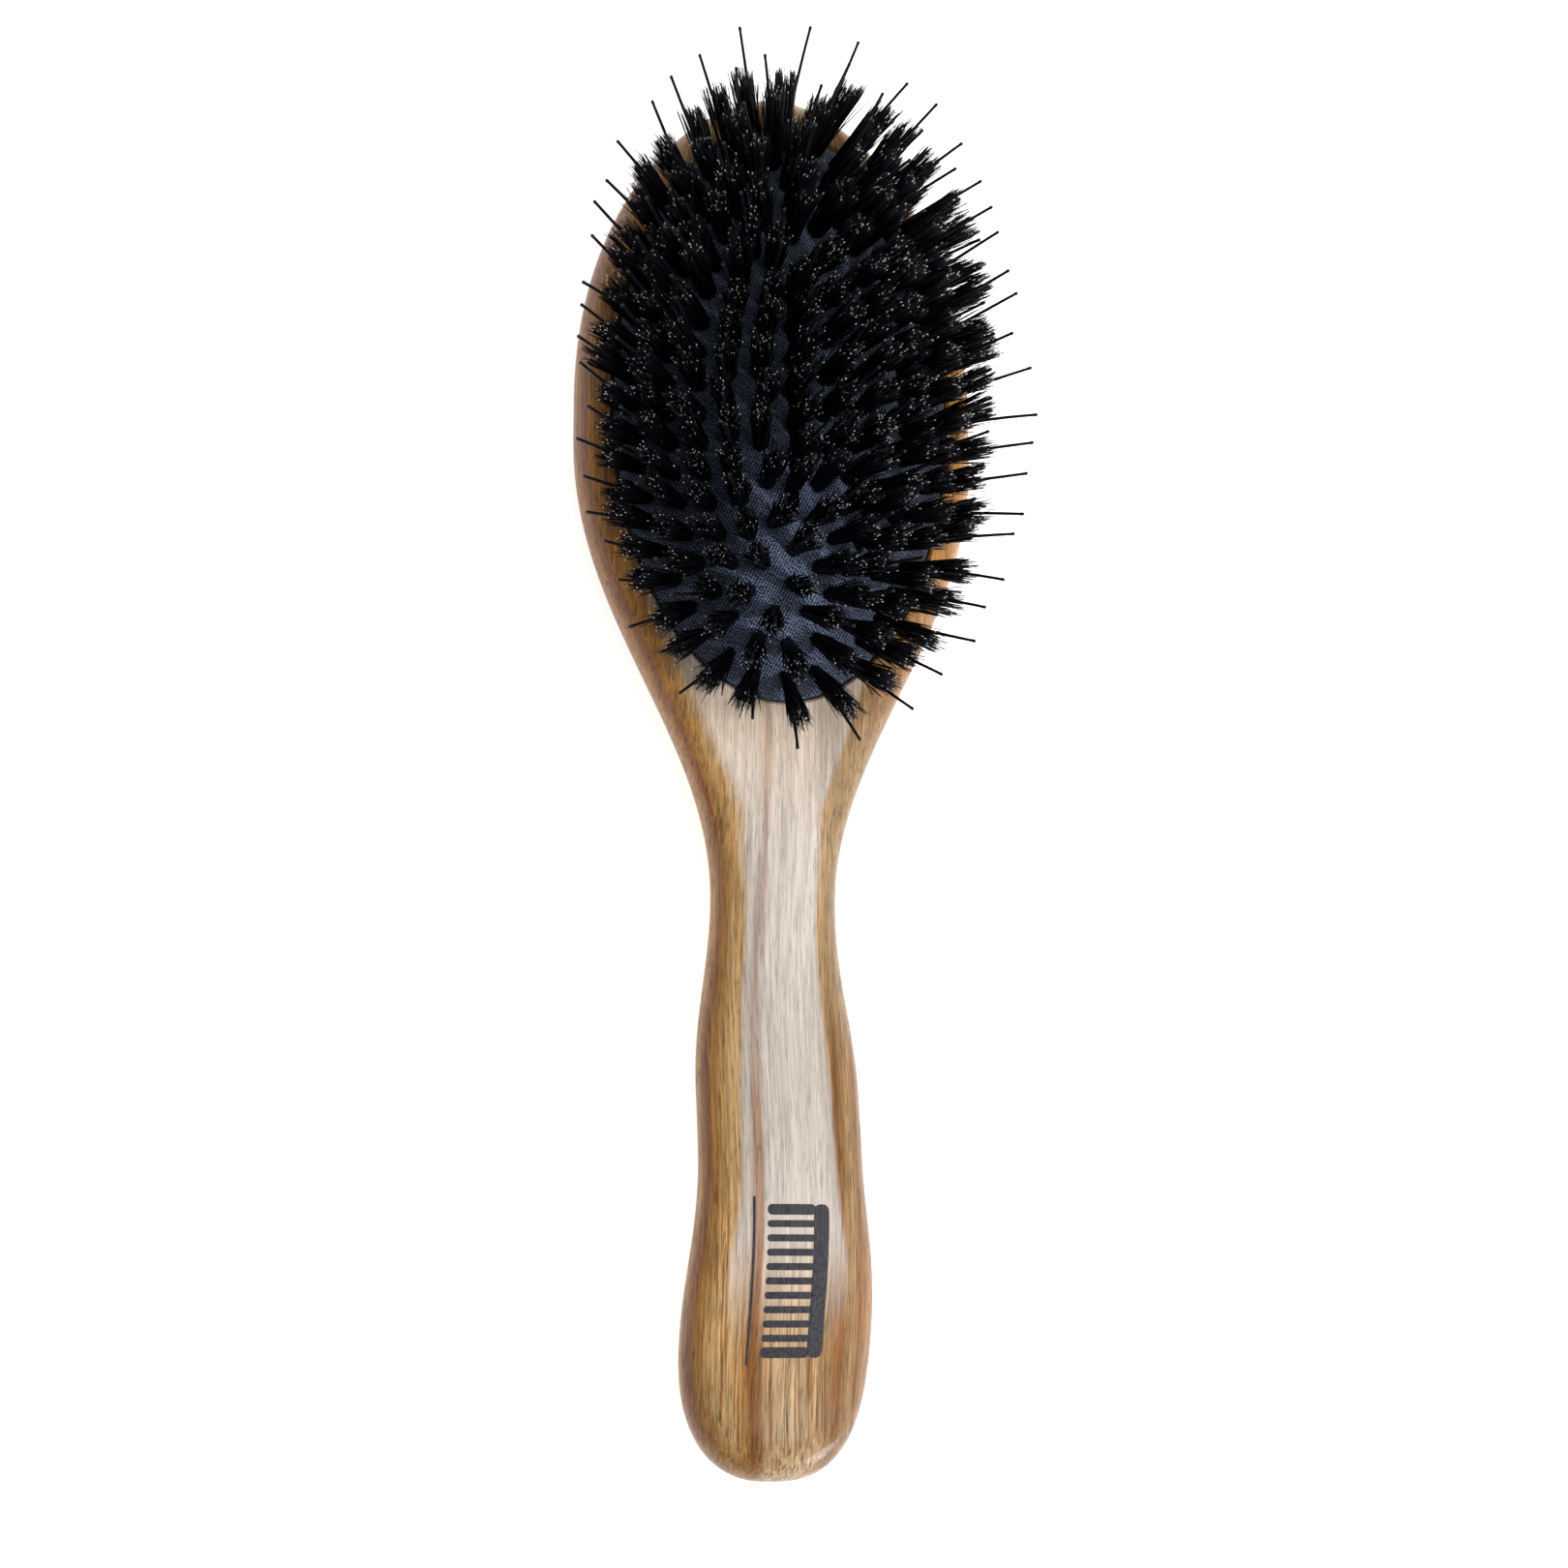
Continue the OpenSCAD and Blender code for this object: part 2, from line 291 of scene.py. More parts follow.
# ---------------------------------------------------------------- tuft layout

def ring_inset(k):
    return TUFT_INSET + RING_STEP * k + STEP_GROWTH * k * (k - 1) / 2


def ring_turns(k):
    """Oval parameters that space the tufts of a ring evenly along it."""
    d = ring_inset(k)
    turns = np.radians(np.arange(0, 361, 2))
    pts = np.array([on_oval(d, t) for t in turns])
    walk = np.concatenate([[0], np.cumsum(np.linalg.norm(np.diff(pts, axis=0), axis=1))])
    n = RING_COUNTS[k]
    goal = walk[-1] * (np.arange(n) + RING_OFFSET[k]) / n
    return np.interp(goal, walk, turns)


def tuft_frames(k):
    """Foot point, bristle axis and two side axes of every tuft of a ring, in millimetres."""
    out = []
    if k == CENTRE_ROW:
        reach = PAD_B - PAD_A - CENTRE_GAP
        for i in range(RING_COUNTS[k]):
            y = mix(reach, -reach, i / (RING_COUNTS[k] - 1)) - PAD_SHIFT
            out.append((np.array([0, y, RIM_Z + PAD_RISE]), np.eye(3)))
        return out
    d = ring_inset(k)
    for turn in ring_turns(k):
        x, y = on_oval(d, turn)
        way = math.atan2((PAD_A - d) * math.cos(turn), (PAD_B - d) * math.sin(turn))
        lean = math.radians(RING_LEAN[k] * (1 + END_LEAN * math.cos(turn) ** 2))
        m = np.array(Matrix.Rotation(way, 3, "Z") @ Matrix.Rotation(lean, 3, "Y"))
        out.append((np.array([x, y, RIM_Z + puff(d)]), m.T))
    return out


TUFTS = [tuft_frames(k) for k in range(len(RING_NAMES))]


# ---------------------------------------------------------------- node helper

class Nodes:
    """Small helper for building a material's node tree."""

    def __init__(self, name):
        self.mat = bpy.data.materials.new(name)
        self.mat.use_nodes = True
        self.tree = self.mat.node_tree
        self.tree.nodes.clear()
        self.bsdf = self.add("ShaderNodeBsdfPrincipled")
        out = self.add("ShaderNodeOutputMaterial")
        self.link(self.bsdf.outputs[0], out.inputs["Surface"])
        coord = self.add("ShaderNodeTexCoord")
        scaled = self.add("ShaderNodeVectorMath", operation="SCALE")
        self.link(coord.outputs["Object"], scaled.inputs[0])
        scaled.inputs["Scale"].default_value = 1 / MM
        self.mm = scaled.outputs[0]

    def add(self, kind, **settings):
        node = self.tree.nodes.new(kind)
        for key, value in settings.items():
            setattr(node, key, value)
        return node

    def link(self, a, b):
        self.tree.links.new(a, b)

    def put(self, socket, value):
        if isinstance(value, bpy.types.NodeSocket):
            self.link(value, socket)
        elif value is not None:
            socket.default_value = value

    def attribute(self, name):
        return self.add("ShaderNodeAttribute", attribute_name=name).outputs["Fac"]

    def math(self, operation, a, b=None):
        node = self.add("ShaderNodeMath", operation=operation)
        for socket, value in zip(node.inputs, (a, b)):
            self.put(socket, value)
        return node.outputs[0]

    def times(self, first, *others):
        for value in others:
            first = self.math("MULTIPLY", first, value)
        return first

    def plus(self, first, *others):
        for value in others:
            first = self.math("ADD", first, value)
        return first

    def minus(self, a, b):
        return self.math("SUBTRACT", a, b)

    def gap(self, value, centre):
        """Distance of a value from a centre, to either side."""
        return self.math("ABSOLUTE", self.minus(value, centre))

    def swing(self, noise, size):
        """A noise value made into a push to either side."""
        return self.times(self.minus(noise, 0.5), size)

    def split(self, vector):
        node = self.add("ShaderNodeSeparateXYZ")
        self.link(vector, node.inputs[0])
        return tuple(node.outputs)

    def join(self, x, y, z):
        node = self.add("ShaderNodeCombineXYZ")
        for socket, value in zip(node.inputs, (x, y, z)):
            self.put(socket, value)
        return node.outputs[0]

    def noise(self, vector, scale=1.0, detail=2.0, rough=0.5):
        node = self.add("ShaderNodeTexNoise")
        self.link(vector, node.inputs["Vector"])
        node.inputs["Scale"].default_value = scale
        node.inputs["Detail"].default_value = detail
        node.inputs["Roughness"].default_value = rough
        return node.outputs[0]

    def remap(self, value, a, b, c=0.0, d=1.0, smooth=True):
        """The value's way from a to b, turned into the way from c to d and held there."""
        node = self.add("ShaderNodeMapRange",
                        interpolation_type="SMOOTHSTEP" if smooth else "LINEAR")
        self.put(node.inputs[0], value)
        for socket, number in zip(node.inputs[1:5], (a, b, c, d)):
            self.put(socket, number)
        return node.outputs[0]

    def ramp(self, value, stops):
        node = self.add("ShaderNodeValToRGB")
        self.put(node.inputs[0], value)
        ramp = node.color_ramp
        while len(ramp.elements) < len(stops):
            ramp.elements.new(0.5)
        for element, (place, colour) in zip(ramp.elements, stops):
            element.position = place
            element.color = (*colour, 1.0)
        return node.outputs[0]

    def mix(self, factor, a, b, mode="MIX"):
        node = self.add("ShaderNodeMix", data_type="RGBA", blend_type=mode)
        self.put(node.inputs[0], factor)
        for socket, value in ((node.inputs[6], a), (node.inputs[7], b)):
            if isinstance(value, tuple) and len(value) == 3:
                value = (*value, 1.0)
            self.put(socket, value)
        return node.outputs[2]

    def bump(self, height, strength, distance):
        """Relief from a height; the distance is in millimetres."""
        node = self.add("ShaderNodeBump")
        node.inputs["Strength"].default_value = strength
        node.inputs["Distance"].default_value = distance * MM
        self.link(height, node.inputs["Height"])
        return node.outputs[0]

    def set(self, **values):
        for key, value in values.items():
            self.put(self.bsdf.inputs[key.replace("_", " ")], value)


def srgb(r, g, b):
    """Linear colour of an sRGB tone given as 0 to 255."""
    def one(c):
        c /= 255.0
        return c / 12.92 if c <= 0.04045 else ((c + 0.055) / 1.055) ** 2.4
    return one(r), one(g), one(b)


# ---------------------------------------------------------------- materials

# a bristle whose random seed, from 0 to 1, is over this has a pale tip
PALE_SEED = 0.75


def albedo(r, g, b):
    """Paint that comes out near the given sRGB tone under this scene's light."""
    return tuple(max(0.3 * c, (c - 0.02) / 1.1) for c in srgb(r, g, b))


# the growth rings across the wood: place in millimetres, and tone
RING_SPAN = 40.0
RING_TONES = [
    (-40, (112, 70, 34)), (-34, (140, 98, 54)), (-30, (122, 80, 42)),
    (-27, (170, 124, 68)), (-24, (158, 112, 60)), (-21, (176, 132, 78)),
    (-18, (178, 142, 96)), (-15, (184, 150, 104)), (-12, (188, 154, 108)),
    (-10, (194, 160, 114)), (-8, (196, 162, 116)), (-6.8, (180, 142, 94)),
    (-5.6, (142, 100, 62)), (-4.9, (128, 84, 54)), (-4.2, (152, 112, 76)),
    (-3.3, (188, 156, 118)), (1, (196, 168, 130)), (5, (190, 158, 118)),
    (7, (166, 128, 86)), (8.4, (130, 88, 50)), (9.6, (164, 124, 80)),
    (11.2, (180, 144, 98)), (12.4, (132, 90, 50)), (13.6, (168, 128, 82)),
    (17, (146, 100, 54)), (20.5, (182, 134, 82)), (25, (158, 108, 60)),
    (30, (180, 130, 76)), (36, (140, 92, 46)),
]
# the dark ring that runs the whole length of the handle
LONG_LINE = -4.9
PLAIN_GOLD, RUST, DARK_LINE = albedo(172, 142, 100), albedo(158, 100, 52), albedo(138, 90, 48)
EDGE_BROWN, DARK_EDGE_LINE = albedo(150, 104, 50), albedo(124, 70, 14)
# painted sheen: pale tones for the crown of the neck and grip, the warmer one near the cushion
PALE, WARM_PALE = albedo(200, 190, 181), albedo(211, 193, 175)


def wood_material():
    """Striped wood, laid out in millimetres of the brush's own frame."""
    n = Nodes("striped_wood")
    x, y, z = n.split(n.mm)
    rim = n.attribute("rim")
    # height over the middle plane of the body, which follows the lift of the grip
    lift = n.remap(y, LIFT_Y, LIFTED_Y, 0.0, GRIP_RISE)
    drop = n.remap(y, LIFTED_Y, DROPPED_Y, 0.0, GRIP_RISE - BUTT_RISE)
    level = n.minus(n.minus(z, MIDDLE_Z), n.minus(lift, drop))

    def along_grain(across, length, depth, start=x):
        return n.join(n.times(start, across), n.times(y, length), n.times(level, depth))

    # u is the place across the growth rings, which curve with the depth and drift along the handle
    wander = n.swing(n.noise(along_grain(0.03, 0.016, 0.05), 1.0, 2.0, 0.5), 3.0)
    wobble = n.swing(n.noise(along_grain(0.6, 0.035, 0.3), 1.0, 3.0, 0.6), 1.5)
    cup = n.plus(n.times(n.minus(6.5, level), 0.035), 1.0)
    drift = n.plus(n.remap(y, -125, -58, 0.0, 2.3), n.remap(y, -166, -140, 0.8, 0.0))
    u = n.plus(n.minus(n.times(x, cup), drift), n.plus(wander, wobble))
    place = n.times(n.plus(u, RING_SPAN), 0.5 / RING_SPAN)
    gold = n.ramp(place, [((t + RING_SPAN) / (2 * RING_SPAN), albedo(*c)) for t, c in RING_TONES])

    # long soft streaks, thin fibres and short dark pores, all drawn out along the grain
    streak = n.noise(along_grain(1.5, 0.022, 0.9, u), 1.0, 5.0, 0.62)
    fibre = n.noise(along_grain(2.4, 0.06, 1.0), 1.0, 5.0, 0.75)
    pore = n.noise(along_grain(4.8, 0.26, 1.8), 1.0, 2.0, 0.6)
    lines = n.noise(along_grain(2.1, 0.012, 0.7, u), 1.0, 3.0, 0.7)
    grain = n.times(n.remap(streak, 0.3, 0.7, 0.74, 1.24, smooth=False),
                    n.remap(fibre, 0.3, 0.7, 0.46, 1.54, smooth=False),
                    n.remap(pore, 0.34, 0.48, 0.58, 1.08))

    # plainer gold to the right of the neck, rusty streaks and dark lines elsewhere
    plain = n.times(n.remap(y, -114, -98), n.remap(y, -50, -62), n.remap(u, 4.5, 6.5), 0.8)
    gold = n.mix(plain, gold, PLAIN_GOLD)
    rust = n.times(n.remap(streak, 0.5, 0.62, 0.0, 0.5),
                   n.remap(n.gap(x, 1.0), 1.5, 6.0, 0.3, 1.0), n.minus(1.0, plain))
    gold = n.mix(rust, gold, RUST)
    lined = n.times(n.remap(lines, 0.5, 0.57, 0.0, 0.8), n.remap(y, -112, -146, 0.25, 1.0))
    gold = n.mix(lined, gold, DARK_LINE)

    # a dark line follows the left edge, with a browner band beside it
    left = n.remap(x, -5.0, -1.0, 1.0, 0.0)
    inset = n.plus(rim, wobble)
    gold = n.mix(n.times(left, n.remap(inset, 1.0, 4.4, 0.85, 0.0)), gold, EDGE_BROWN)
    mark = n.times(n.remap(n.gap(inset, 1.0), 0.15, 0.75, 1.0, 0.0),
                   n.remap(streak, 0.42, 0.58, 0.5, 1.0), n.remap(y, -171, -162))
    gold = n.mix(n.times(left, mark), gold, DARK_EDGE_LINE)
    gold = n.mix(1.0, gold, grain, "MULTIPLY")

    # painted sheen: the flat crown of the neck and grip is painted pale, as far as the rounded
    # edges, in place of the lacquer's reflection of the light; it is warmer close to the cushion,
    # and the long line shows through it
    ragged = n.swing(fibre, 0.8)
    flare = n.remap(x, -2.0, 2.0, 0.45, 0.33)
    limit = n.plus(n.times(n.math("MAXIMUM", n.plus(y, 72.0), 0.0), flare), 6.1,
                   n.remap(y, -84, -100, 0.0, 6.0))
    inside = n.minus(n.plus(limit, ragged), n.math("ABSOLUTE", x))
    soft = n.remap(x, -2.0, 2.0, 1.5, 0.7)
    painted_sheen = n.times(n.remap(n.plus(level, n.times(ragged, 0.4)), 5.75, 6.2),
                    n.remap(inside, n.times(soft, -1.0), soft),
                    n.remap(y, -156, -134), n.remap(y, -30, -42))
    pale = n.mix(n.remap(y, -78, -54), PALE, WARM_PALE)
    pale = n.mix(1.0, pale, n.remap(grain, 0.35, 1.6, 0.62, 1.3, smooth=False), "MULTIPLY")
    clear = n.remap(n.gap(u, LONG_LINE), 0.25, 1.5, n.remap(y, -122, -108, 0.25, 0.55), 0.92)
    colour = n.mix(n.times(painted_sheen, clear), gold, pale)

    # painted shade: darker towards the right edge of the neck and handle, and on the butt
    right_painted_shade = n.times(n.remap(x, 3.5, 9.0), n.remap(y, -30, -52, 0.05, 1.0),
                    n.remap(y, -148, -128, 0.5, 1.0), 0.32)
    shade = n.times(n.minus(1.0, right_painted_shade), n.remap(y, -168, -142, 0.74, 1.0))
    colour = n.mix(1.0, colour, shade, "MULTIPLY")
    relief = n.bump(n.plus(n.times(pore, 0.6), n.times(fibre, 0.4)), 0.5, 0.14)
    n.set(Base_Color=colour, Roughness=n.remap(pore, 0.3, 0.6, 0.6, 0.48), Normal=relief,
          Coat_Normal=relief, IOR=1.3, Coat_Weight=0.35, Coat_Roughness=0.16, Coat_IOR=1.5)
    return n.mat


THREAD_PITCH = 0.66
WEAVE_X, WEAVE_Y = 0.94, 0.34


def cloth_material():
    n = Nodes("rubberised_cloth")
    x, y, _ = n.split(n.mm)
    sway = n.swing(n.noise(n.mm, 1.1, 2.0, 0.5), 0.9)

    def thread(across):
        return n.math("SINE", n.times(n.plus(across, sway), 2 * math.pi / THREAD_PITCH))

    # a plain weave that lies askew on the pad, under a fine fuzz
    warp = thread(n.plus(n.times(x, WEAVE_X), n.times(y, WEAVE_Y)))
    weft = thread(n.minus(n.times(y, WEAVE_X), n.times(x, WEAVE_Y)))
    fuzz = n.noise(n.mm, 5.0, 4.0, 0.65)
    height = n.plus(n.times(warp, weft, 0.45), fuzz)
    patch = n.noise(n.mm, 0.12, 3.0, 0.55)
    base = n.mix(n.remap(patch, 0.3, 0.7), srgb(11, 13, 21), srgb(20, 23, 34))
    # painted highlight: the raised threads of the weave are painted paler than the hollows; the
    # fuzz is paler with wear
    lit = n.mix(n.remap(height, 0.25, 0.9), base, srgb(104, 116, 142))
    wear_and_painted_light = n.mix(n.remap(fuzz, 0.6, 0.75, 0.0, 0.6), lit, srgb(120, 130, 152))
    # painted light and shade: the pad is painted paler along the middle of its lower half, where
    # the light reaches it between the tufts, and darker elsewhere
    painted_light_pool = n.times(n.remap(y, -52.0, -40.0, 0.35, 1.0), n.remap(y, -4.0, -26.0),
                     n.remap(n.gap(x, -0.5), 4.0, 12.0, 1.0, 0.1))
    wear_and_painted_light = n.mix(1.0, wear_and_painted_light, n.remap(painted_light_pool, 0.0, 1.0, 0.62, 1.5, smooth=False), "MULTIPLY")
    n.set(Base_Color=wear_and_painted_light, Roughness=n.remap(fuzz, 0.3, 0.7, 0.66, 0.88),
          Normal=n.bump(height, 0.85, 0.2), Sheen_Weight=0.06, Sheen_Roughness=0.4,
          Specular_IOR_Level=0.2)
    return n.mat


def bristle_material():
    """Near-black hairs, some with a pale tip."""
    n = Nodes("boar_bristle")
    along, seed = n.attribute("along"), n.attribute("seed")
    shaft = n.mix(seed, srgb(6, 6, 11), srgb(15, 14, 20))
    mottle = n.noise(n.mm, 2.5, 3.0, 0.6)
    shaft = n.mix(n.remap(mottle, 0.5, 0.8, 0.0, 0.5), shaft, srgb(33, 33, 44))
    flag = n.times(n.remap(along, 0.972, 0.984), n.remap(seed, PALE_SEED, PALE_SEED + 0.01))
    pale = n.mix(n.remap(seed, 0.79, 1.0), srgb(56, 56, 62), srgb(196, 192, 186))
    colour = n.mix(flag, shaft, pale)
    n.set(Base_Color=colour, Roughness=n.remap(mottle, 0.3, 0.7, 0.42, 0.6),
          Specular_IOR_Level=0.14)
    return n.mat


def pin_material():
    n = Nodes("nylon_pin")
    haze = n.noise(n.mm, 1.6, 3.0, 0.6)
    body = n.mix(n.remap(haze, 0.35, 0.7), srgb(7, 7, 10), srgb(18, 17, 21))
    colour = n.mix(n.remap(n.attribute("along"), 0.965, 1.0, 0.0, 0.5), body, srgb(34, 33, 38))
    n.set(Base_Color=colour, Roughness=n.remap(haze, 0.3, 0.7, 0.3, 0.45),
          Normal=n.bump(haze, 0.2, 0.05), Specular_IOR_Level=0.2)
    return n.mat


def steel_material():
    n = Nodes("spring_steel")
    x, y, z = n.split(n.mm)
    drawn = n.noise(n.join(n.times(x, 0.4), n.times(y, 0.4), n.times(z, 9.0)), 1.0, 4.0, 0.6)
    tint = n.mix(n.remap(drawn, 0.3, 0.7), srgb(150, 150, 152), srgb(186, 186, 190))
    n.set(Base_Color=tint, Metallic=1.0, Roughness=n.remap(drawn, 0.3, 0.7, 0.28, 0.45),
          Normal=n.bump(drawn, 0.25, 0.05))
    return n.mat


def collar_material():
    n = Nodes("moulded_collar")
    grain = n.noise(n.mm, 6.0, 3.0, 0.6)
    tint = n.mix(n.remap(grain, 0.35, 0.7), srgb(34, 34, 38), srgb(52, 52, 58))
    n.set(Base_Color=tint, Roughness=n.remap(grain, 0.3, 0.7, 0.5, 0.68),
          Normal=n.bump(grain, 0.3, 0.05))
    return n.mat


def ink_material():
    """Dark ink that lets the grain of the wood show as paler pores."""
    n = Nodes("printed_ink")
    x, y, z = n.split(n.mm)
    pore = n.noise(n.join(n.times(x, 4.6), n.times(y, 0.24), n.times(z, 4.6)), 1.0, 3.0, 0.6)
    blot = n.noise(n.mm, 1.4, 3.0, 0.6)
    tint = n.mix(n.remap(pore, 0.4, 0.62), srgb(62, 60, 62), srgb(36, 38, 47))
    tint = n.mix(n.remap(blot, 0.5, 0.75, 0.0, 0.5), tint, srgb(44, 44, 52))
    n.set(Base_Color=tint, Roughness=n.remap(pore, 0.3, 0.6, 0.6, 0.45),
          Normal=n.bump(pore, 0.3, 0.1), Specular_IOR_Level=0.25)
    return n.mat


def floor_material():
    """Pale floor, lit from within like a light table, so that the brush stands on white."""
    n = Nodes("pale_floor")
    tint = n.mix(n.noise(n.mm, 0.02, 2.0, 0.5), (0.90, 0.90, 0.90), (0.93, 0.93, 0.93))
    n.set(Base_Color=tint, Roughness=0.85, Specular_IOR_Level=0.2,
          Emission_Color=(1.0, 1.0, 1.0, 1.0), Emission_Strength=0.75)
    return n.mat


WOOD, CLOTH = wood_material(), cloth_material()
BRISTLE, PIN = bristle_material(), pin_material()
STEEL, COLLAR, INK = steel_material(), collar_material(), ink_material()


# ---------------------------------------------------------------- wooden body

SHARP_ANGLE = 40


def build_body():
    """Wooden body with the oval pocket cut into it."""
    verts, faces = body_mesh()
    ob = new_object("turned_wood_body", verts, faces, WOOD)
    fix_normals(ob)
    # pocket with a small rounded lip, wider again in the groove that holds the cushion edge, as
    # inset from the oval and depth below the rim
    steps = [(-0.62, -3), (-0.62, -0.02), (-0.46, 0.12), (-0.24, 0.3), (-0.08, 0.52), (0, 0.8),
             (0, 3.4), (-1.4, 3.4), (-1.4, 5), (0, 5), (0, 8.6), (0.4, 9)]
    rows = [(inset, RIM_Z - depth) for inset, depth in steps]
    around = 192
    v, f = swept_oval(rows, around)
    f.append(tuple(range(around)))
    f.append(tuple((len(rows) - 1) * around + k for k in range(around))[::-1])
    cutter = new_object("cutter", v, f, WOOD, smooth=False)
    fix_normals(cutter)
    cut = ob.modifiers.new("pocket", "BOOLEAN")
    cut.operation, cut.solver, cut.object = "DIFFERENCE", "EXACT", cutter
    bpy.context.view_layer.update()
    done = bpy.data.meshes.new_from_object(
        ob.evaluated_get(bpy.context.evaluated_depsgraph_get()))
    ob.modifiers.clear()
    ob.data = done
    bpy.data.objects.remove(cutter)
    done.polygons.foreach_set("use_smooth", [True] * len(done.polygons))
    done.set_sharp_from_angle(angle=math.radians(SHARP_ANGLE))
    # distance in plan from the outline, for the dark line that follows the edge
    edge = np.array(outline(90, 300, 90))
    edge = np.concatenate([edge, edge * (-1, 1)]) * MM
    at = np.empty(len(done.vertices) * 3)
    done.vertices.foreach_get("co", at)
    at = at.reshape(-1, 3)
    rim = np.array([np.sqrt(((edge - p[:2]) ** 2).sum(1).min()) for p in at]) / MM
    done.attributes.new("rim", "FLOAT", "POINT").data.foreach_set("value", rim.astype(np.float32))
    weigh = ob.modifiers.new("face_weights", "WEIGHTED_NORMAL")
    weigh.keep_sharp = True
    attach(ob, "brush_body")
    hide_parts("wood_body")
    return ob


body = build_body()


# ---------------------------------------------------------------- cushion

SKIN_THICK = 0.9
# the edge rolls over and tucks down into the wood: inset, and height over the rim
EDGE_ROLL = [(0.38, 0.12), (0.26, -0.08), (0.2, -0.45), (0.18, -1.0), (0.2, -2.6)]
DIMPLE, DIMPLE_RADIUS = 0.75, 1.75
COLLAR_RISE, COLLAR_RADIUS, COLLAR_WIDTH = 0.16, 2.7, 0.9
SWELL = 0.10


def build_cushion():
    """Domed skin with a dimple and a low raised collar round each tuft, and a slow swell."""
    around, levels = 420, 78
    rows = []
    for i in range(levels + 1):
        d = PAD_A * 0.985 * (1 - i / levels) ** 1.2 + 0.55
        rows.append((d, RIM_Z + puff(d)))
    domed = len(rows) * around
    rows += [(d, RIM_Z + dz) for d, dz in EDGE_ROLL]
    turns = 2 * np.pi * np.arange(around) / around
    v = np.array([(*on_oval(d, t), z) for d, z in rows for t in turns])
    feet = np.array([[f[0], f[1]] for ring in TUFTS for f, _ in ring])
    near = np.sqrt(((v[:, None, :2] - feet[None]) ** 2).sum(-1)).min(1)
    dimple = (-DIMPLE * np.exp(-(near / DIMPLE_RADIUS) ** 2)
              + COLLAR_RISE * np.exp(-((near - COLLAR_RADIUS) / COLLAR_WIDTH) ** 2))
    swell = SWELL * np.sin(v[:, 0] * 0.55 + 1.3) * np.sin(v[:, 1] * 0.43 + 0.4)
    fade = np.clip((v[:, 2] - RIM_Z) / 1.2, 0, 1)
    fade[domed:] = 0.0
    v[:, 2] += fade * (dimple + swell)
    faces = []
    for i in range(len(rows) - 1):
        for k in range(around):
            a, b = i * around + k, i * around + (k + 1) % around
            faces.append((a, a + around, b + around, b))
    faces.append(tuple(range(around)))
    ob = new_object("puffed_cushion", [tuple(c * MM for c in p) for p in v], faces, CLOTH)
    fix_normals(ob)
    if ob.data.polygons[len(ob.data.polygons) // 2].normal.z < 0:
        ob.data.flip_normals()
    skin = ob.modifiers.new("skin", "SOLIDIFY")
    skin.thickness = SKIN_THICK * MM
    skin.offset = -1
    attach(ob, "brush_body")
    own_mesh(ob)
    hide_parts("cushion")


build_cushion()


# ---------------------------------------------------------------- bristles and pins

# a direction that no strand runs along
OFF_AXIS = np.array([0.31, 0.87, 0.11])


def strands(name, paths, radii, sides, along, seeds, material):
    """One mesh of many tapered strands; paths is (strand, point, xyz) in millimetres."""
    paths = np.asarray(paths, float)
    count, points, _ = paths.shape
    tangent = np.gradient(paths, axis=1)
    tangent /= np.linalg.norm(tangent, axis=2, keepdims=True)
    side = np.cross(tangent, OFF_AXIS)
    side /= np.linalg.norm(side, axis=2, keepdims=True)
    other = np.cross(tangent, side)
    angles = 2 * np.pi * np.arange(sides) / sides
    ring = (paths[:, :, None]
            + radii[:, :, None, None] * (np.cos(angles)[None, None, :, None] * side[:, :, None]
                                         + np.sin(angles)[None, None, :, None]
                                         * other[:, :, None]))
    verts = ring.reshape(-1, 3) * MM
    base = (np.arange(count) * points * sides)[:, None, None]
    row = (np.arange(points - 1) * sides)[None, :, None]
    k = np.arange(sides)[None, None]
    a = base + row + k
    b = base + row + (k + 1) % sides
    quads = np.stack([a, b, b + sides, a + sides], -1).reshape(-1, 4)
    caps = [tuple(int(c * points * sides + (points - 1) * sides + j) for j in range(sides))
            for c in range(count)]
    feet = [tuple(int(c * points * sides + j) for j in reversed(range(sides)))
            for c in range(count)]
    ob = new_object(name, verts.tolist(), quads.tolist() + caps + feet, material)
    for label, values in (("along", np.tile(np.repeat(along, sides), count)),
                          ("seed", np.repeat(seeds, points * sides))):
        attribute = ob.data.attributes.new(label, "FLOAT", "POINT")
        attribute.data.foreach_set("value", values.astype(np.float32))
    return ob


def at_foot(foot, m, off, h):
    """Points at side offsets and heights along the bristle axis of a tuft."""
    return foot + off[:, :1] * m[0] + off[:, 1:] * m[1] + h[:, None] * m[2]


BRISTLES, CLUMPS = 136, 10
TUFT_RADIUS, ROOT_DEPTH = 1.5, 2.4
MEAN_LENGTH, LENGTH_LIMITS = 13.6, (7.4, 14.2)
BRISTLE_RADIUS = 0.108
# width along a bristle, for the dark tips that taper and the pale ones that end blunt
TAPER = np.array([1.0, 1.0, 0.97, 0.88, 0.4])
BLUNT = np.array([1.0, 1.0, 1.0, 0.88, 0.76])


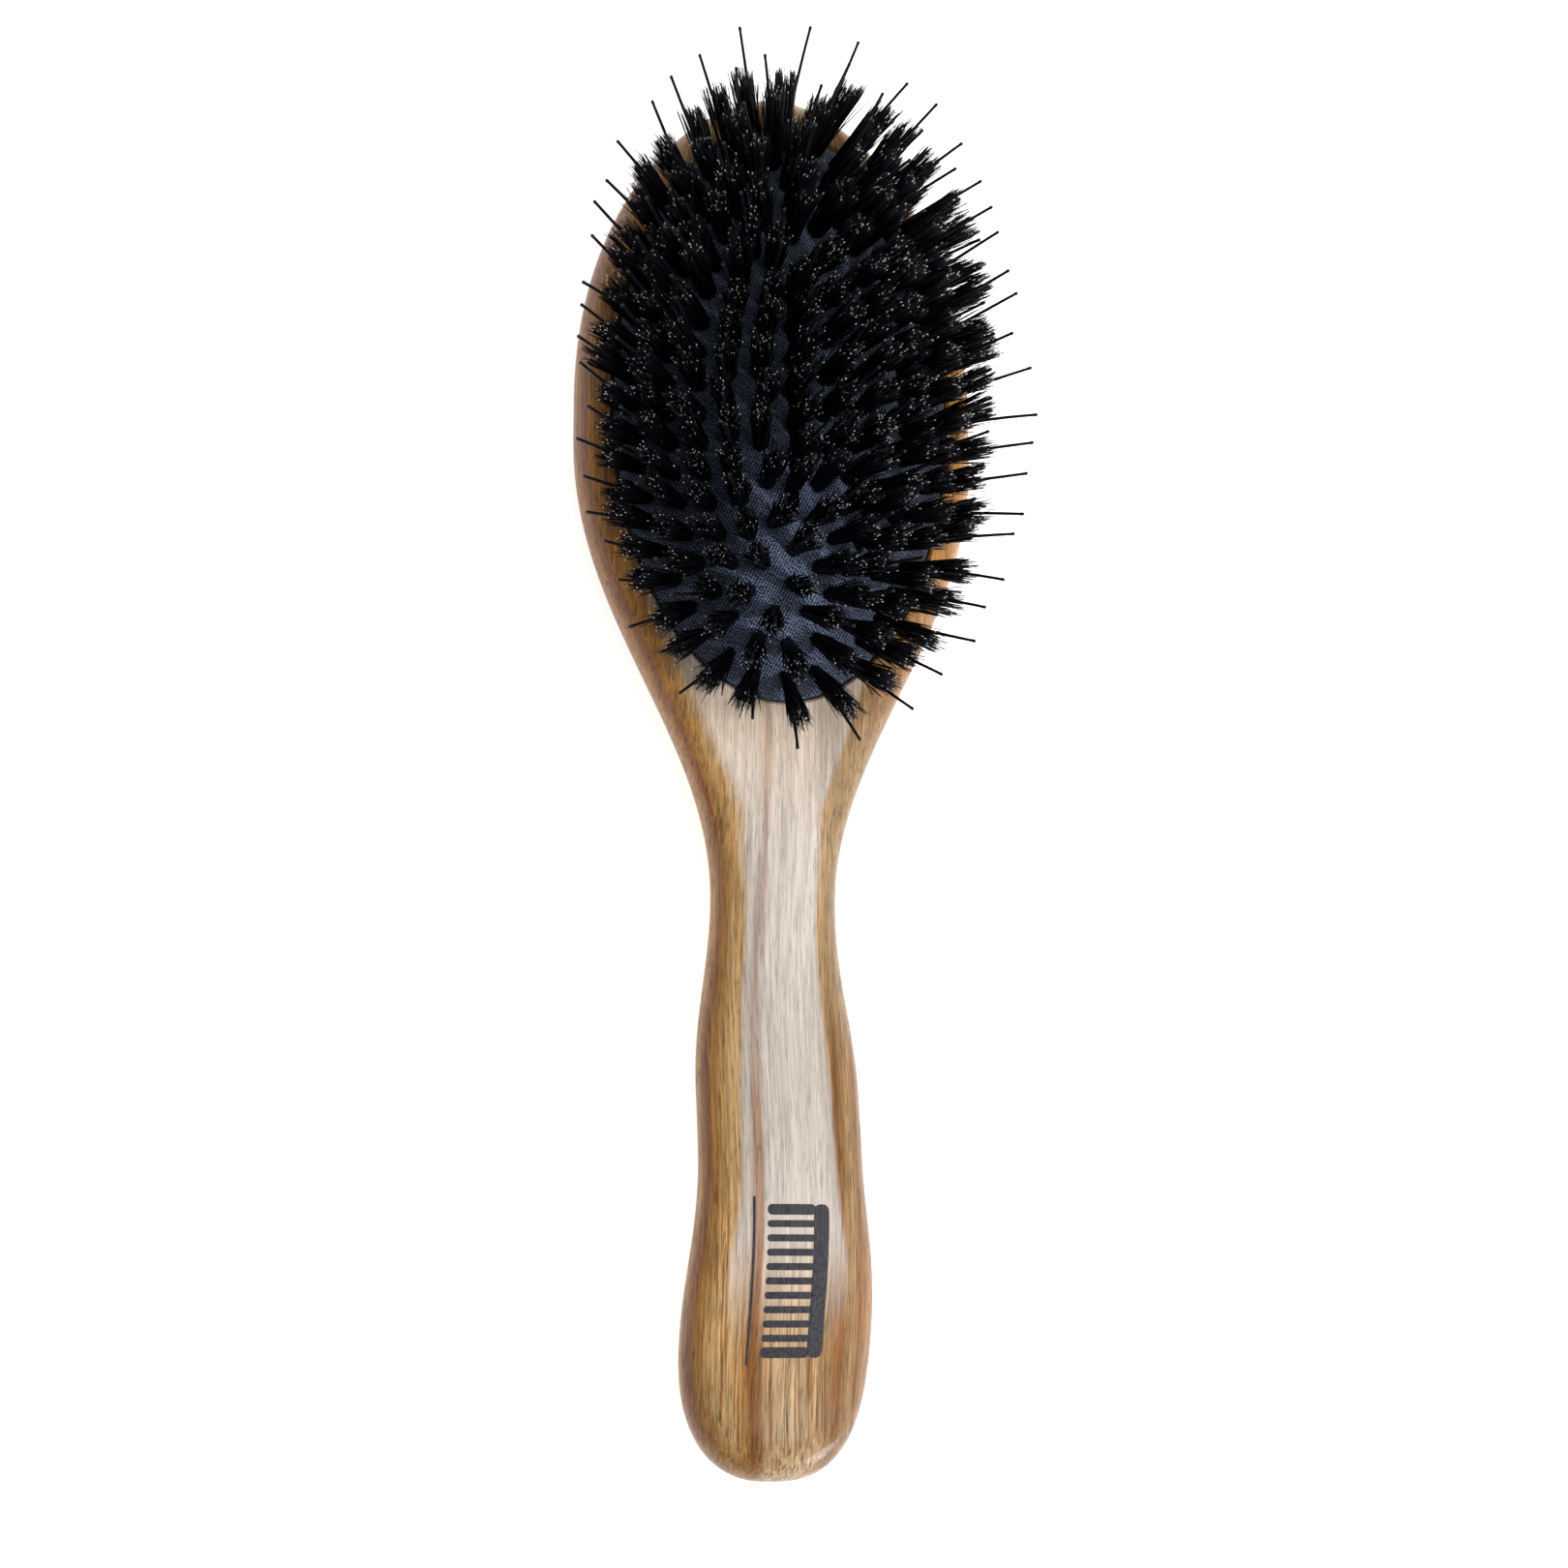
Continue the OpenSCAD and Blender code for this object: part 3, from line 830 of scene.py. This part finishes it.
def build_tufts(k):
    """The boar tufts of one ring; the bristles of a tuft lean together in a few clumps."""
    along = np.linspace(0, 1, len(TAPER)) ** 0.8
    paths, radii, seeds = [], [], []
    for foot, m in TUFTS[k]:
        # tufts are narrower towards the handle, and no two are alike
        full = (TUFT_RADIUS * mix(0.74, 1.0, ease(foot[1], -44.0, 4.0))
                * (0.84 + 0.2 * rng.random()))
        u = np.sqrt(rng.random(BRISTLES))
        angle = 2 * np.pi * rng.random(BRISTLES)
        root = np.stack([u * np.cos(angle), u * np.sin(angle)], -1) * full
        # tufts of the lower half stand looser, and those at the upper right splay out
        loose = ease(-foot[1], 8.0, 38.0)
        splay = ease(foot[0], 2, 18) * ease(foot[1], -12, 14) * max(0.0, 1 - 0.3 * k)
        natural = root * (1.5 + 0.5 * loose) + 0.32 * rng.standard_normal((BRISTLES, 2))
        # each clump pulls its bristles towards one point, the long ones most
        reach = 0.5 + 0.5 * rng.random(CLUMPS)
        reach[:3] = (0.05, 0.35, 0.4)
        turn = 2 * np.pi * rng.random(CLUMPS)
        knots = np.stack([reach * np.cos(turn), reach * np.sin(turn)], -1) * 1.65 * full
        knot_length = 13.3 - np.abs(rng.standard_normal(CLUMPS)) * 1.7
        near = np.argmin(((natural[:, None] - knots[None]) ** 2).sum(-1), 1)
        length = MEAN_LENGTH - np.abs(rng.standard_normal(BRISTLES)) * 2.4
        length = 0.55 * length + 0.45 * knot_length[near]
        pull = np.clip((length[:, None] - 8.5) / 5.0, 0.15, 1.0) * (0.85 - 0.35 * loose)
        tip = natural + (knots[near] - natural) * pull
        # a few stray bristles are longer, and some bend more
        length += (rng.random(BRISTLES) < 0.05) * rng.random(BRISTLES) * 1.6
        length = np.clip(length, *LENGTH_LIMITS)
        bend = 0.36 * rng.standard_normal((BRISTLES, 2))
        bend *= np.where(rng.random((BRISTLES, 1)) < 0.1, 2.6, 1.0)
        sag = 0.75 * rng.standard_normal(2)
        sag[0] += 1.2 * splay
        seed = rng.random(BRISTLES)
        wide = BRISTLE_RADIUS * (0.9 + 0.25 * rng.random(BRISTLES))
        t = along[:, None]
        for b in range(BRISTLES):
            h = (length[b] + 1.1 * splay + ROOT_DEPTH) * along - ROOT_DEPTH
            off = ((1 - 0.22 * loose) * root[b] * (1 - t) + tip[b] * t + sag * t
                   + bend[b] * t ** 2)
            paths.append(at_foot(foot, m, off, h))
            radii.append(wide[b] * (BLUNT if seed[b] > PALE_SEED else TAPER))
            seeds.append(seed[b])
    ob = strands(f"boar_tufts_{RING_NAMES[k]}", paths, np.array(radii), 3, along,
                 np.array(seeds), BRISTLE)
    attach(ob, RING_BODIES[k])
    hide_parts(f"tufts_{RING_NAMES[k]}")


PIN_LENGTH = 20.0
# heights and radii along a pin, from the head under the cushion to the rounded ball at the tip
PIN_STOPS = np.array([-3.8, -3.3, -3.2, 0.0, 5.0, 10.0, 15.0, 18.0, 19.2, 19.45, 19.65, 19.82,
                      19.94, PIN_LENGTH])
PIN_RADII = np.array([1.1, 1.2, 0.4, 0.35, 0.31, 0.27, 0.25, 0.24, 0.235, 0.27, 0.29, 0.27,
                      0.19, 0.07])


def build_pins(k):
    """The pins of one ring, each a little tilted, bent and shortened in its own way."""
    along = (PIN_STOPS - PIN_STOPS[0]) / (PIN_STOPS[-1] - PIN_STOPS[0])
    t = (np.clip(PIN_STOPS, 0, None) / PIN_LENGTH)[:, None]
    paths, seeds = [], []
    for foot, m in TUFTS[k]:
        bend = 0.5 * rng.standard_normal(2)
        tilt = 0.7 * rng.standard_normal(2)
        short = 1.0 - 0.075 * rng.random() ** 1.5
        h = np.where(PIN_STOPS > 0, PIN_STOPS * short, PIN_STOPS)
        paths.append(at_foot(foot, m, tilt * t + bend * t ** 2, h))
        seeds.append(rng.random())
    ob = strands(f"nylon_pins_{RING_NAMES[k]}", paths, np.tile(PIN_RADII, (len(paths), 1)), 10,
                 along, np.array(seeds), PIN)
    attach(ob, RING_BODIES[k])
    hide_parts(f"pins_{RING_NAMES[k]}")


for ring in range(len(RING_NAMES)):
    build_tufts(ring)
    build_pins(ring)


# ---------------------------------------------------------------- printed ornament

PRINT_Y = -144.2
TEETH, FIRST_TOOTH_Y, TEETH_SPAN = 11, -133.7, 21.0
PRINT_CELL, CORNER, INK_LIFT = 0.35, 0.42, 0.03


def round_bar(fx, fy, w, h):
    """Point of a bar with rounded corners; fx and fy run from -1 to 1 across its w by h box."""
    small = min(w, h) * CORNER
    ex = max(0.0, abs(fx) * w / 2 - (w / 2 - small))
    ey = max(0.0, abs(fy) * h / 2 - (h / 2 - small))
    reach = max(ex, ey)
    pull = reach / max(math.hypot(ex, ey), 1e-9) if reach > 0 else 1.0
    return (math.copysign(min(abs(fx) * w / 2, w / 2 - small) + ex * pull, fx),
            math.copysign(min(abs(fy) * h / 2, h / 2 - small) + ey * pull, fy))


def build_print():
    """A plain comb and one thin line in ink on the grip, laid on the wood as a printed film."""
    tree = BVHTree.FromObject(body, bpy.context.evaluated_depsgraph_get())
    # bars as centre x, centre y, width and height: spine, teeth (the end ones wider) and line
    bars = [(4.7, PRINT_Y, 2.4, 22.6)]
    for i in range(TEETH):
        y = FIRST_TOOTH_Y - i * TEETH_SPAN / (TEETH - 1)
        bars.append((0.1, y, 7.4, 1.05 if 0 < i < TEETH - 1 else 1.6))
    bars.append((-5.6, PRINT_Y, 0.4, 25.0))
    verts, faces = [], []
    for cx, cy, w, h in bars:
        nx, ny = max(2, int(w / PRINT_CELL)), max(2, int(h / PRINT_CELL))
        first = len(verts)
        for j in range(ny + 1):
            for i in range(nx + 1):
                px, py = round_bar(2 * i / nx - 1, 2 * j / ny - 1, w, h)
                start = Vector(((cx + px) * MM, (cy + py) * MM, 50 * MM))
                hit, normal, _, _ = tree.ray_cast(start, Vector((0, 0, -1)))
                verts.append(tuple(hit + normal * (INK_LIFT * MM)))
        for j in range(ny):
            for i in range(nx):
                a = first + j * (nx + 1) + i
                faces.append((a, a + 1, a + nx + 2, a + nx + 1))
    ob = new_object("printed_comb_mark", verts, faces, INK)
    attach(ob, "brush_body")


build_print()


# ---------------------------------------------------------------- CAD nodes kept as they are

for name, material in [("retaining_ring", STEEL)] + [(f"collars_{r}", COLLAR) for r in RING_NAMES]:
    kept = bpy.data.objects[name].data
    kept.materials.clear()
    kept.materials.append(material)

# ---------------------------------------------------------------- stage, light, camera

FLOOR_HALF = 3.0
corners = [(-1, -1), (1, -1), (1, 1), (-1, 1)]
floor = new_object("floor", [(a * FLOOR_HALF, b * FLOOR_HALF, 0) for a, b in corners],
                   [(0, 1, 2, 3)], floor_material())


def softbox(name, place, target, size, power, gloss=True, diffuse=True):
    """Area light, in metres and watts, that the camera doesn't see."""
    lamp = bpy.data.lights.new(name, "AREA")
    lamp.shape, lamp.size, lamp.size_y = "RECTANGLE", size[0], size[1]
    lamp.energy = power
    ob = bpy.data.objects.new(name, lamp)
    ob.location = place
    ob.rotation_euler = (Vector(target) - Vector(place)).to_track_quat("-Z", "Y").to_euler()
    ob.visible_camera, ob.visible_glossy, ob.visible_diffuse = False, gloss, diffuse
    bpy.context.collection.objects.link(ob)


# a broad light, a small one that draws the shadows, and one for the glint on the butt
softbox("softbox_right", (0.5, -0.16, 0.72), (0.0, -0.07, 0.01), (0.62, 1.9), 7.2)
softbox("key_low_right", (0.42, -0.48, 0.78), (0.0, -0.05, 0.01), (0.12, 0.12), 6.5, gloss=False)
softbox("glint_low_right", (0.6, -0.72, 0.1), (0.0, -0.17, 0.01), (0.36, 0.05), 4.5,
        diffuse=False)

world = bpy.data.worlds.new("studio")
world.use_nodes = True
sky = world.node_tree.nodes["Background"].inputs
sky["Color"].default_value, sky["Strength"].default_value = (1.0, 1.0, 1.0, 1.0), 0.36
bpy.context.scene.world = world
bpy.context.scene.view_settings.view_transform = "Standard"

# the camera looks from the left and from the handle side, and is turned a little
VIEW_LEFT, VIEW_LOW, VIEW_ROLL = 12.5, 12.0, -0.168
VIEW_DISTANCE, SENSOR, LENS = 0.42, 36.0, 60.361
target = Vector((1.855, -65.978, 8.0)) * MM
back = Vector((-math.tan(math.radians(VIEW_LEFT)), -math.tan(math.radians(VIEW_LOW)), 1))
back.normalize()
right = Vector((0, 1, 0)).cross(back).normalized()
up = back.cross(right)
roll = math.radians(VIEW_ROLL)
right, up = (math.cos(roll) * right + math.sin(roll) * up,
             math.cos(roll) * up - math.sin(roll) * right)
camera_data = bpy.data.cameras.new("camera")
camera_data.sensor_width, camera_data.lens = SENSOR, LENS
camera_data.clip_start, camera_data.clip_end = 0.01, 20.0
camera = bpy.data.objects.new("camera", camera_data)
pose = Matrix((right, up, back)).transposed().to_4x4()
pose.translation = target + back * VIEW_DISTANCE
camera.matrix_world = pose
bpy.context.collection.objects.link(camera)
bpy.context.scene.camera = camera
